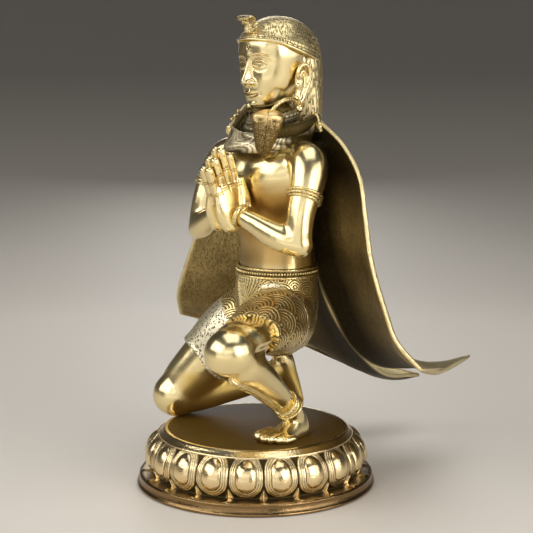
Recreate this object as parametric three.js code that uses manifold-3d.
// A kneeling garuda in cast brass, palms joined, on a round lotus plinth, with two cast wings.
// Millimetres, +Z up. The origin is the middle of the plinth's flat underside.
// The figure faces -Y, so its left side is +X.

import * as THREE from 'three';
import Module from 'manifold-3d';

const wasm = await Module();
wasm.setup();

// Driving sizes
const FIGURE_TOP = 560;
const FOOT_RADIUS = 144.5;
const FOOT_HEIGHT = 14;
const DISC_RADIUS = 109;
const DISC_Z = 68;
const SEAT_GAP = 0.3;
const FLOOR = DISC_Z + SEAT_GAP;
const PETALS = 20;
const PETAL_FOOT_Z = 17;
const PETAL_TOP_Z = 60;
const PETAL_RELIEF = 5;
const WING_THICKNESS = 5;
const WING_FEATHERS = 7;
const WING_RELIEF = 1.4;

// Small vocabulary
const v3 = (x, y, z) => new THREE.Vector3(x, y, z);
const lerp = THREE.MathUtils.lerp;
const TAU = 2 * Math.PI;
const X_AXIS = v3(1, 0, 0);
const Y_AXIS = v3(0, 1, 0);
const Z_AXIS = v3(0, 0, 1);

// A smooth curve through [position, value] points, with the slopes taken from their neighbours.
function profile(points, at) {
  const last = points.length - 1;
  if (at <= points[0][0]) return points[0][1];
  if (at >= points[last][0]) return points[last][1];
  let i = 0;
  while (at > points[i + 1][0]) i += 1;
  const slope = (k) => {
    const before = points[Math.max(k - 1, 0)];
    const after = points[Math.min(k + 1, last)];
    return (after[1] - before[1]) / (after[0] - before[0]);
  };
  const span = points[i + 1][0] - points[i][0];
  const u = (at - points[i][0]) / span;
  const rise = u * u * (3 - 2 * u);
  const start = u * (1 - u) * (1 - u) * span * slope(i);
  const end = u * u * (u - 1) * span * slope(i + 1);
  return lerp(points[i][1], points[i + 1][1], rise) + start + end;
}

const column = (rows, k) => rows.map((row) => [row[0], row[k]]);
const onSide = (stations, side) => stations.map(([x, ...rest]) => [x * side, ...rest]);
const sided = (point, side) => v3(point.x * side, point.y, point.z);

// Solids

function solidFromMesh(points, faces) {
  let volume = 0;
  for (let i = 0; i < faces.length; i += 3) {
    const [a, b, c] = [points[faces[i]], points[faces[i + 1]], points[faces[i + 2]]];
    volume += a.dot(b.clone().cross(c));
  }
  const triVerts = Uint32Array.from(faces);
  if (volume < 0) triVerts.reverse();
  const vertProperties = Float32Array.from(points.flatMap((point) => point.toArray()));
  return new wasm.Manifold(new wasm.Mesh({ numProp: 3, vertProperties, triVerts }));
}

// Closed rings of points, joined one to the next, with a fan of triangles over each end.
function solidFromRings(rings) {
  const sides = rings[0].length;
  const points = rings.flat();
  const middle = (ring) => ring.reduce((sum, point) => sum.add(point), v3(0, 0, 0)).divideScalar(sides);
  const first = points.push(middle(rings[0])) - 1;
  const last = points.push(middle(rings.at(-1))) - 1;
  const lastRow = (rings.length - 1) * sides;
  const faces = [];
  for (let s = 0; s < sides; s += 1) {
    const next = (s + 1) % sides;
    for (let row = 0; row < lastRow; row += sides) {
      faces.push(row + s, row + next, row + sides + next);
      faces.push(row + s, row + sides + next, row + sides + s);
    }
    faces.push(first, next, s);
    faces.push(last, lastRow + s, lastRow + next);
  }
  return solidFromMesh(points, faces);
}

function joined(solids) {
  return solids.reduce((whole, solid) => whole.add(solid));
}

function meshOf(name, solid, material) {
  const { vertProperties, triVerts } = solid.getMesh();
  const geometry = new THREE.BufferGeometry();
  geometry.setAttribute('position', new THREE.BufferAttribute(Float32Array.from(vertProperties), 3));
  geometry.setIndex(Array.from(triVerts));
  geometry.computeVertexNormals();
  const mesh = new THREE.Mesh(geometry, material);
  mesh.name = name;
  return mesh;
}

// An oval ring of points about a centre, in the plane of two unit directions.
// `shape(angle)` may scale it point by point.
function ovalRing(centre, side, front, halfSide, halfFront, sides, shape = () => 1) {
  return Array.from({ length: sides }, (_, k) => {
    const angle = (TAU * k) / sides;
    const scale = shape(angle);
    return centre.clone()
      .addScaledVector(side, halfSide * scale * Math.cos(angle))
      .addScaledVector(front, halfFront * scale * Math.sin(angle));
  });
}

// A limb: oval sections square to a smooth path. Each station is [x, y, z, halfSide, halfFront],
// and `across` is the direction that halfSide is measured in.
function limb(stations, sides, steps, across = X_AXIS) {
  const path = new THREE.CatmullRomCurve3(stations.map(([x, y, z]) => v3(x, y, z)));
  const rows = stations.map((station, i) => [i / (stations.length - 1), station[3], station[4]]);
  const rings = Array.from({ length: steps + 1 }, (_, i) => {
    const t = i / steps;
    const along = path.getTangent(t);
    const side = across.clone().addScaledVector(along, -across.dot(along)).normalize();
    const front = along.clone().cross(side);
    const halfSide = profile(column(rows, 1), t);
    const halfFront = profile(column(rows, 2), t);
    return ovalRing(path.getPoint(t), side, front, halfSide, halfFront, sides);
  });
  return solidFromRings(rings);
}

// A body of level sections. Each row is [z, y, halfWidth, halfDepth].
function stack(rows, sides, levels, shape = () => 1) {
  const bottom = rows[0][0];
  const top = rows.at(-1)[0];
  const rings = Array.from({ length: levels + 1 }, (_, i) => {
    const z = lerp(bottom, top, i / levels);
    const centre = v3(0, profile(column(rows, 1), z), z);
    const halfWidth = profile(column(rows, 2), z);
    const halfDepth = profile(column(rows, 3), z);
    return ovalRing(centre, X_AXIS, Y_AXIS, halfWidth, halfDepth, sides, (angle) => shape(angle, z));
  });
  return solidFromRings(rings);
}

// An egg: a ball stretched to three half sizes.
function egg(centre, half, sides, levels) {
  const rings = Array.from({ length: levels }, (_, i) => {
    const tilt = Math.PI * ((i + 0.5) / levels - 0.5);
    const middle = centre.clone().addScaledVector(Z_AXIS, half.z * Math.sin(tilt));
    return ovalRing(middle, X_AXIS, Y_AXIS, half.x * Math.cos(tilt), half.y * Math.cos(tilt), sides);
  });
  return solidFromRings(rings);
}

// A band round a limb: strands side by side along the axis, with a valley between each two.
function strandBand(centre, axis, radius, across, strands, strandRadius) {
  const side = across.clone().addScaledVector(axis, -across.dot(axis)).normalize();
  const front = axis.clone().cross(side);
  const last = 2 * strands;
  const rings = Array.from({ length: last + 1 }, (_, i) => {
    const buried = i === 0 || i === last ? -2 * strandRadius : 0;
    const swell = i % 2 === 0 ? buried : strandRadius;
    const middle = centre.clone().addScaledVector(axis, (i - strands) * strandRadius);
    return ovalRing(middle, side, front, radius + swell, radius + swell, 8);
  });
  return solidFromRings(rings);
}

// Lotus plinth

const FOOT_PROFILE = [[FOOT_RADIUS, 0], [FOOT_RADIUS, 3], [142.5, 5], [141, 11], [137, FOOT_HEIGHT],
  [122, FOOT_HEIGHT + 1], [114, 30]];
const BAND_PROFILE = [[106, 40], [116, 58], [119, 60], [114, 63.5], [111.5, DISC_Z],
  [DISC_RADIUS, DISC_Z]];
const DRUM_BULGE = [[PETAL_FOOT_Z - 4, 121], [22, 127], [36, 129.5], [48, 125.5], [PETAL_TOP_Z + 1, 115]];

const levelRing = (radius, z, sides) => ovalRing(v3(0, 0, z), X_AXIS, Y_AXIS, radius, radius, sides);
const turned = (points, sides) => solidFromRings(points.map(([radius, z]) => levelRing(radius, z, sides)));

// How far a petal stands out of the drum: a smooth egg, round end down, one in each share of the turn.
function petalRelief(angle, z) {
  const turn = (angle / TAU) * PETALS;
  const across = 2 * (turn - Math.floor(turn)) - 1;
  const up = (z - PETAL_FOOT_Z) / (PETAL_TOP_Z - PETAL_FOOT_Z);
  const low = Math.max(0, 0.5 - up) / 0.5;
  const halfWidth = 0.98 * Math.sqrt(Math.max(0, 1 - low * low));
  if (halfWidth <= Math.abs(across)) return 0;
  return PETAL_RELIEF * Math.sqrt(1 - (across / halfWidth) ** 2);
}

function lotusPlinth() {
  const columnsPerPetal = 4;
  const levels = 4;
  const rings = Array.from({ length: levels + 1 }, (_, i) => {
    const z = lerp(PETAL_FOOT_Z - 4, PETAL_TOP_Z + 1, i / levels);
    const radius = profile(DRUM_BULGE, z);
    const shape = (angle) => 1 + petalRelief(angle, z) / radius;
    return ovalRing(v3(0, 0, z), X_AXIS, Y_AXIS, radius, radius, PETALS * columnsPerPetal, shape);
  });
  const sides = 32;
  return joined([turned(FOOT_PROFILE, sides), solidFromRings(rings), turned(BAND_PROFILE, sides)]);
}

// Wings. A wing is a sheet between its front edge, which leaves the shoulder and ends at a low outer
// corner, and its back edge, which follows the spine and runs out to a tail tip behind the plinth.

const WING_FRONT = [[50, 57, 437], [98, 50, 412], [134, 42, 378], [148, 37, 338], [160, 35, 288],
  [184, 33, 236], [202, 35, 200], [222, 54, 168]];
const WING_BACK = [[16, 78, 434], [11, 95, 345], [9, 108, 262], [9, 122, 215], [10, 148, 174],
  [11, 190, 132], [18, 240, 104], [46, 335, 93]];
const WING_BULGE = 20;
const LEFT_SAG = [[0, 0], [0.3, -8], [0.55, -10], [0.74, -7], [1, 0]];
const RIGHT_SAG = [[0, 0], [0.1, -14], [0.21, -16], [0.33, -4], [0.46, 7], [0.7, 7], [1, 0]];
const TIP_LIFT = 22;

function wingPoint(side, down, out) {
  const curveAt = (points) => new THREE.CatmullRomCurve3(points.map((p) => v3(...p))).getPoint(down);
  const front = curveAt(WING_FRONT);
  const back = curveAt(WING_BACK);
  back.z += side * TIP_LIFT * down ** 4;
  const point = back.lerp(front, out);
  const fullness = Math.sin(Math.PI * out);
  point.y += WING_BULGE * fullness * Math.sin(Math.PI * down);
  point.z += profile(side > 0 ? LEFT_SAG : RIGHT_SAG, out) * down ** 6;
  return v3(point.x * side, point.y, point.z);
}

// The wing's solid. With `grow` it is that much larger all round, which gives the room it needs.
function wingSheet(side, grow) {
  const columns = WING_FEATHERS * 2;
  const rows = 7;
  const half = WING_THICKNESS / 2 + grow;
  const at = (row, k) => {
    const down = row / rows;
    const width = wingPoint(side, down, 0).distanceTo(wingPoint(side, down, 1));
    return wingPoint(side, down, lerp(-grow / width, 1 + grow / width, k / columns));
  };
  const outwardAt = (row, k) => {
    const r = Math.min(Math.max(row, 0.5), rows - 0.5);
    const c = Math.min(Math.max(k, 0.5), columns - 0.5);
    const down = at(r + 0.5, c).sub(at(r - 0.5, c));
    const out = at(r, c + 0.5).sub(at(r, c - 0.5));
    return down.cross(out).multiplyScalar(-side).normalize();
  };
  const rings = [];
  for (let row = 0; row <= rows; row += 1) {
    const inner = [];
    const outer = [];
    for (let k = 0; k <= columns; k += 1) {
      const outward = outwardAt(row, k);
      const feather = k % 2 === 1 ? WING_RELIEF : 0;
      inner.push(at(row, k).addScaledVector(outward, -half));
      outer.push(at(row, k).addScaledVector(outward, half + feather));
    }
    rings.push([...inner, ...outer.reverse()]);
  }
  rings[0].forEach((point) => { point.z += grow; });
  return solidFromRings(rings);
}

// Trunk, cloth and belt. Rows are [z, y, halfWidth, halfDepth].

const TRUNK = [[153, 34, 18, 18], [166, 33, 38, 34], [186, 32, 49, 44], [212, 32, 53, 48],
  [236, 33, 52, 47], [254, 34, 49, 45], [270, 34, 47, 43], [285, 34, 46.5, 42], [305, 32, 50, 42],
  [330, 29, 57, 44], [352, 27, 64, 46], [375, 27, 69, 46], [393, 29, 68, 42], [407, 33, 58, 36],
  [420, 35, 40, 31], [434, 34, 30, 29], [456, 32, 26, 27]];
const BELT_Z = 258;
const BELT_HALF = 6;
const BELT_RIM = 4.4;
const BELT_VALLEY = 2.8;
const BELT_EDGE = 2;

function trunk() {
  return stack(TRUNK, 14, 10);
}

function belt() {
  const rows = [[-BELT_HALF, BELT_EDGE], [2 - BELT_HALF, BELT_RIM], [0, BELT_VALLEY],
    [BELT_HALF - 2, BELT_RIM], [BELT_HALF, BELT_EDGE]];
  const rings = rows.map(([rise, swell]) => {
    const z = BELT_Z + rise;
    const [y, halfWidth, halfDepth] = [1, 2, 3].map((k) => profile(column(TRUNK, k), z));
    return ovalRing(v3(0, y, z), X_AXIS, Y_AXIS, halfWidth + swell, halfDepth + swell, 14);
  });
  return solidFromRings(rings);
}

// The pleats that hang from the belt: a small fan of folds at the front.
const PLEATS = [[254, -9, 9, 9], [208, -9, 15, 12]];
const PLEAT_FOLDS = 7;

function pleats() {
  return stack(PLEATS, 2 * PLEAT_FOLDS, 1, (angle) => 1 + 0.1 * Math.cos(PLEAT_FOLDS * angle));
}

// Head

const CHIN_Z = 451;
const HEAD_HEIGHT = 106;
const HEAD_Y = 33;
const HEAD_WIDTH = [[0, 10], [0.06, 18], [0.16, 26], [0.3, 34], [0.48, 39], [0.65, 40.5], [0.82, 36],
  [0.94, 22], [1, 6]];
const FACE_DEPTH = [[0, 29], [0.06, 37], [0.16, 39], [0.3, 41], [0.48, 42], [0.6, 45], [0.74, 44],
  [0.86, 36], [0.95, 20], [1, 6]];
const NAPE_DEPTH = [[0, 4], [0.16, 24], [0.3, 36], [0.5, 44], [0.7, 45], [0.86, 36], [0.95, 20], [1, 6]];
const NOSE_Z = CHIN_Z + 0.27 * HEAD_HEIGHT;
const EYE_Z = CHIN_Z + 0.5 * HEAD_HEIGHT;
const MOUTH_Z = CHIN_Z + 0.17 * HEAD_HEIGHT;
const EYE = v3(15, -4, EYE_Z);
const NOSE = [[0, -7, EYE_Z + 6, 3.4, 3], [0, -12, EYE_Z - 6, 3.8, 4], [0, -16, NOSE_Z + 5, 5.4, 4.6],
  [0, -12, NOSE_Z - 2, 6.5, 4]];
const HEAD_SQUARENESS = 2.4;

// How far a squarish section stands out beyond a round one.
function squareness(angle) {
  const sum = Math.abs(Math.cos(angle)) ** HEAD_SQUARENESS + Math.abs(Math.sin(angle)) ** HEAD_SQUARENESS;
  return sum ** (-1 / HEAD_SQUARENESS);
}

function head() {
  const levels = 9;
  const rings = Array.from({ length: levels + 1 }, (_, i) => {
    const up = i / levels;
    const width = profile(HEAD_WIDTH, up);
    const face = profile(FACE_DEPTH, up);
    const nape = profile(NAPE_DEPTH, up);
    const centre = v3(0, HEAD_Y, CHIN_Z + up * HEAD_HEIGHT);
    const ring = ovalRing(centre, X_AXIS, Y_AXIS, width, 1, 14, squareness);
    return ring.map((point) => {
      const depth = point.y - HEAD_Y;
      return v3(point.x, HEAD_Y + depth * (depth < 0 ? face : nape), point.z);
    });
  });
  return solidFromRings(rings);
}

function faceFeatures() {
  const nose = limb(NOSE, 6, 4);
  const lips = egg(v3(0, -6, MOUTH_Z), v3(9.5, 4.5, 4.2), 8, 4);
  const chin = egg(v3(0, -1, CHIN_Z + 6), v3(10, 7, 6.5), 8, 4);
  const eyes = [1, -1].map((side) => egg(sided(EYE, side), v3(9, 5, 4.6), 6, 3));
  return joined([nose, lips, chin, ...eyes]);
}

// The leaf of the ear, its long lobe and the drop that hangs from it, each [centre, half sizes].
const EAR = [
  [v3(42, 33, 484), v3(5, 10.5, 19)],
  [v3(42, 31, 467), v3(4, 6.5, 9)],
  [v3(44, 29, 456), v3(5, 5, 5.4)],
];

function ear(side) {
  return joined(EAR.map(([centre, half]) => egg(sided(centre, side), half, 8, 3)));
}

const CAP_CENTRE = v3(0, 35, 512);
const CAP_HALF = v3(48.5, 54, FIGURE_TOP - 512);
const CAP_RIM = [[0, 533], [0.2, 529], [0.5, 517], [1, 500]];

// The cap: rings from its sloping rim up to the crown, on one egg.
function cap() {
  const sides = 16;
  const levels = 5;
  const rings = Array.from({ length: levels }, (_, i) => Array.from({ length: sides }, (_unused, k) => {
    const angle = (TAU * k) / sides;
    const back = (1 + Math.sin(angle)) / 2;
    const rimTilt = Math.asin((profile(CAP_RIM, back) - CAP_CENTRE.z) / CAP_HALF.z);
    const tilt = lerp(rimTilt, Math.PI / 2, i / levels);
    return v3(
      CAP_CENTRE.x + CAP_HALF.x * Math.cos(tilt) * Math.cos(angle),
      CAP_CENTRE.y + CAP_HALF.y * Math.cos(tilt) * Math.sin(angle),
      CAP_CENTRE.z + CAP_HALF.z * Math.sin(tilt),
    );
  }));
  rings.push(ovalRing(v3(0, CAP_CENTRE.y, FIGURE_TOP), X_AXIS, Y_AXIS, 0.5, 0.5, sides));
  return solidFromRings(rings);
}

// Hair under the cap, falling on the nape.
const HAIR_FALL = [[424, 50, 41, 29], [445, 51, 44, 34], [475, 50, 44.5, 36], [510, 49, 44, 37],
  [526, 48, 36, 30]];
const hairFall = () => stack(HAIR_FALL, 10, 3);

// A small cobra that rears up at the front of the cap.
const COBRA_BODY = [[0, 4, 546, 6, 5], [0, -9, 541, 6, 5], [0, -15, 548, 6, 5]];
const COBRA_HOOD = [[0, -14, 546, 6, 4], [0, -15, 554, 13, 4], [0, -15, 559.5, 8, 3]];
const capCobra = () => joined([limb(COBRA_BODY, 6, 3), limb(COBRA_HOOD, 8, 3)]);

// Serpent collar

const COLLAR = [[398, 27, 47, 46], [404, 27, 52, 51], [412, 27, 52, 50], [424, 27, 48, 45],
  [436, 28, 43, 40], [446, 30, 38, 36], [452, 31, 33, 31]];
const COLLAR_FOLDS = 7;
const FOLD_DEPTH = 0.035;

function collar() {
  const swirl = (angle, z) => 1 + FOLD_DEPTH * Math.sin(COLLAR_FOLDS * angle + z / 5);
  return stack(COLLAR, 16, 4, swirl);
}

// One hood spreads on the left front of the collar.
const HOOD = [[30, -16, 400, 7, 5], [34, -17, 412, 11, 6], [38, -18, 428, 17, 6], [40, -17, 442, 17.5, 6],
  [40, -14, 451, 10, 4]];
const HOOD_ACROSS = v3(0.66, 0.75, 0);
const collarHood = () => limb(HOOD, 8, 4, HOOD_ACROSS);

// The serpent's body leaves the collar over each shoulder and ends in a knob against the wing.
const OVER_SHOULDER = [[40, -8, 424, 5, 5], [53, 20, 419, 5, 5], [52, 40, 427, 4.5, 4.5],
  [44, 51, 437, 4, 4]];
const KNOB = v3(44, 53, 441);
const KNOB_RADIUS = 6.5;

function shoulderSerpent(side) {
  const tail = limb(onSide(OVER_SHOULDER, side), 6, 4, Z_AXIS);
  const knob = egg(sided(KNOB, side), v3(KNOB_RADIUS, KNOB_RADIUS, KNOB_RADIUS), 6, 3);
  return joined([tail, knob]);
}

// A thin tail loops from the left ear-drop to the hood, and the right end lies along the collar.
const TAIL_LOOP = [[43, 32, 460, 2.4, 2.4], [47, 12, 464, 2.4, 2.4], [46, -4, 459, 2.4, 2.4],
  [40, -13, 447, 2.4, 2.4]];
const RIGHT_TAIL = [[-34, 16, 452, 3, 3], [-41, 2, 432, 4, 4], [-38, -14, 408, 3, 3]];
const serpentTails = () => joined([limb(TAIL_LOOP, 6, 5, Z_AXIS), limb(RIGHT_TAIL, 6, 4)]);

// Arms and joined palms

const UPPER_ARM = [[40, 30, 402, 16, 16], [58, 24, 398, 21, 19], [74, 18, 390, 23, 22],
  [82, 10, 374, 21.5, 20.5], [87, 1, 353, 18, 18], [93, -5, 330, 18, 18.5], [98, -10, 307, 16.5, 17],
  [100, -13, 293, 11, 11]];
const FOREARM = [[100, -8, 298, 12, 13], [86, -18, 303, 16, 16], [64, -26, 311, 16, 15.5],
  [42, -33, 321, 13, 12.5], [22, -39, 329, 11, 10], [12, -42, 332, 9, 9]];
const PALM = [[10, -44, 320, 17, 8.5], [9, -46, 334, 21, 8.5], [7, -46, 350, 21.5, 7.2],
  [6, -48, 366, 20, 6]];
const FINGERS = [
  { base: [-63, 354], tip: [-75, 387] },
  { base: [-54, 360], tip: [-67, 397] },
  { base: [-44.5, 364], tip: [-57.5, 408] },
  { base: [-35, 364], tip: [-45, 402] },
];
const THUMB = [[13, -30, 330, 8, 8], [12, -28, 346, 7.5, 7], [8, -29, 362, 6, 5.5], [6, -31, 376, 3, 3]];
const FINGER_X = 5;
// How thick a finger is, from inside the palm to its tip: [along, radius].
const FINGER_TAPER = [[-0.2, 5.2], [0.4, 5.2], [0.85, 5], [1, 2.4]];
const ARMLET = v3(86.5, 2, 356);
const ARMLET_AXIS = v3(5, -7, -21);
const ARMLET_RADIUS = 19.2;
const WRIST = v3(21, -39, 329);
const WRIST_AXIS = v3(20, 5, -8);
const WRIST_RADIUS = 12;
const WRIST_HOOD = v3(20, -28, 338);

function arm(side) {
  const upper = limb(onSide(UPPER_ARM, side), 8, 7, Y_AXIS);
  const fore = limb(onSide(FOREARM, side), 8, 5, Z_AXIS);
  return joined([upper, fore]);
}

function armlet(side) {
  const axis = sided(ARMLET_AXIS, side).normalize();
  return strandBand(sided(ARMLET, side), axis, ARMLET_RADIUS, Y_AXIS, 3, 1.9);
}

function wristSerpent(side) {
  const axis = sided(WRIST_AXIS, side).normalize();
  const coil = strandBand(sided(WRIST, side), axis, WRIST_RADIUS, Z_AXIS, 1, 3);
  const hood = egg(sided(WRIST_HOOD, side), v3(6, 5, 6), 6, 3);
  return joined([coil, hood]);
}

function hand(side) {
  const palm = limb(onSide(PALM, side), 8, 3, Y_AXIS);
  const fingers = FINGERS.map(({ base, tip }) => {
    const stations = FINGER_TAPER.map(([along, radius]) => (
      [FINGER_X * side, lerp(base[0], tip[0], along), lerp(base[1], tip[1], along), radius, radius]
    ));
    return limb(stations, 5, 2, Y_AXIS);
  });
  const thumb = limb(onSide(THUMB, side), 6, 3, Y_AXIS);
  return joined([palm, thumb, ...fingers]);
}

// Legs. The left knee is raised with its foot flat, the right knee rests on the plinth.

const LEFT_THIGH = [[24, 20, 200, 38, 40], [54, -28, 203, 35, 36], [78, -74, 200, 31, 32],
  [92, -106, 193, 28, 29], [98, -128, 188, 14, 15]];
const LEFT_CLOTH = [[24, 20, 201, 42, 44], [50, -20, 206, 40, 41], [68, -54, 205, 36.5, 37.5]];
const LEFT_KNEE = v3(94, -116, 190);
const LEFT_SHIN = [[98, -122, 192, 18, 18], [94, -103, 178, 25, 24], [89, -74, 158, 21, 20],
  [80, -40, 131, 16.5, 16.5], [69, -10, 108, 12, 12.5], [63, 4, 92, 13, 14], [62, 8, 76, 13, 14]];
const RIGHT_THIGH = [[-24, 26, 198, 38, 40], [-56, 4, 168, 37, 38], [-84, -18, 132, 33, 33],
  [-103, -34, 102, 29, 29], [-111, -41, 86, 18, 17]];
const RIGHT_CLOTH = [[-24, 26, 200, 42, 44], [-52, 7, 174, 42, 43], [-73, -9, 147, 38.5, 39]];
const RIGHT_KNEE = v3(-105, -40, 94);
const KNEE_HALF = v3(30, 30, 29);
const RIGHT_SHIN = [[-108, -46, 92, 20, 21], [-98, -26, 92, 24, 23], [-74, 10, 100, 22, 20],
  [-50, 42, 110, 18, 17], [-35, 62, 122, 13, 13], [-31, 70, 132, 12, 13]];
const LEFT_FOOT = [[60, 28, 9, 10], [61, 20, 13.5, 28], [64, 5, 14, 30], [66, -9, 15, 20],
  [68, -21, 17, 14], [69, -31, 17, 10]];
const LEFT_TOES = [[58, -39, 11, 6.5, 6], [67, -41, 8, 4.8, 5], [74, -37, 8, 4.5, 4.8],
  [80, -32, 7, 4.2, 4.4], [85, -26, 6, 4, 4]];
const TIPTOE_SOLE = [[-29, 60, 146, 9, 8], [-30, 68, 138, 14, 13], [-31, 77, 118, 14, 12],
  [-32, 85, 98, 16, 10], [-33, 90, 80, 18.5, 9]];
const BENT_TOES = [[-33, 92, 77, 18, 7], [-33, 82, 75, 18.5, 7], [-34, 70, 73, 15, 5]];
const TOE_PAD = [-33, 84];
const TOE_PAD_HEIGHT = 12;
const ANKLET = v3(71, -13, 111);
const ANKLET_AXIS = v3(-8, 34, -24).normalize();

const onFloor = (point) => v3(point.x, point.y, Math.max(point.z, FLOOR));
const aboveFloor = (rings) => rings.map((ring) => ring.map(onFloor));

// A foot set flat: arched sections from heel to the root of the toes, each [x, y, halfWidth, height].
function flatFoot() {
  const steps = 5;
  const sides = 10;
  const rows = LEFT_FOOT.map((row, i) => [i / (LEFT_FOOT.length - 1), ...row]);
  const rings = Array.from({ length: steps + 1 }, (_, i) => {
    const t = i / steps;
    const [x, y, halfWidth, height] = [1, 2, 3, 4].map((k) => profile(column(rows, k), t));
    return ovalRing(v3(x, y, FLOOR), X_AXIS, Z_AXIS, halfWidth, height, sides);
  });
  const sole = solidFromRings(aboveFloor(rings));
  const toes = LEFT_TOES.map(([x, y, length, halfWidth, height]) => {
    const toe = [1, 0, -1].map((reach) => {
      const fat = Math.sqrt(1 - reach * reach * 0.6);
      const middle = v3(x, y + reach * length, FLOOR + height / 2);
      return ovalRing(middle, X_AXIS, Z_AXIS, halfWidth * fat, height * fat, 5);
    });
    return solidFromRings(aboveFloor(toe));
  });
  return joined([sole, ...toes]);
}

// The other foot stands on its bent toes, heel up.
function tiptoeFoot() {
  const padRing = (rise) => ovalRing(v3(...TOE_PAD, FLOOR + rise), X_AXIS, Y_AXIS, 17, 9, 8);
  const pad = [padRing(0), padRing(TOE_PAD_HEIGHT)];
  return joined([limb(TIPTOE_SOLE, 8, 3), limb(BENT_TOES, 8, 2), solidFromRings(pad)]);
}

function legs() {
  const leftThigh = limb(LEFT_THIGH, 10, 5, Z_AXIS);
  const leftShin = limb(LEFT_SHIN, 8, 6);
  const rightThigh = limb(RIGHT_THIGH, 10, 5, Y_AXIS);
  const rightShin = limb(RIGHT_SHIN, 8, 5);
  const knees = [LEFT_KNEE, RIGHT_KNEE].map((knee) => egg(knee, KNEE_HALF, 8, 5));
  return joined([leftThigh, leftShin, rightThigh, rightShin, ...knees]);
}

function thighCloth() {
  const left = limb(LEFT_CLOTH, 12, 2, Z_AXIS);
  const right = limb(RIGHT_CLOTH, 12, 2, Y_AXIS);
  return joined([left, right]);
}

function ankleSerpent() {
  return strandBand(ANKLET, ANKLET_AXIS, 13.5, X_AXIS, 1, 3.4);
}

// Nothing of the figure reaches below the disc that it kneels on.
const belowDisc = () => turned([[2 * FOOT_RADIUS, 0], [2 * FOOT_RADIUS, FLOOR]], 24);

function garudaFigure(wingRoom) {
  const body = [trunk(), belt(), pleats(), legs(), thighCloth(), flatFoot(), tiptoeFoot(), ankleSerpent()];
  const headwear = [head(), faceFeatures(), cap(), hairFall(), capCobra()];
  const serpents = [collar(), collarHood(), serpentTails()];
  const sides = [1, -1].flatMap((side) => (
    [arm(side), armlet(side), hand(side), wristSerpent(side), ear(side), shoulderSerpent(side)]
  ));
  const whole = joined([...body, ...headwear, ...serpents, ...sides]);
  return whole.subtract(belowDisc()).subtract(wingRoom);
}

// Materials

const polishedBrass = new THREE.MeshStandardMaterial({ color: 0xc9a24a, roughness: 0.22, metalness: 1 });
const wingBrass = new THREE.MeshStandardMaterial({ color: 0x8f7a3c, roughness: 0.42, metalness: 1 });
const plinthBrass = new THREE.MeshStandardMaterial({ color: 0xa98d4a, roughness: 0.3, metalness: 1 });

// The whole object

const wingRoom = joined([wingSheet(1, SEAT_GAP), wingSheet(-1, SEAT_GAP)]);
const garuda = new THREE.Group();
garuda.name = 'garuda';
garuda.add(meshOf('lotus_plinth', lotusPlinth(), plinthBrass));
garuda.add(meshOf('garuda_figure', garudaFigure(wingRoom), polishedBrass));
garuda.add(meshOf('left_wing', wingSheet(1, 0), wingBrass));
garuda.add(meshOf('right_wing', wingSheet(-1, 0), wingBrass));

export default garuda;
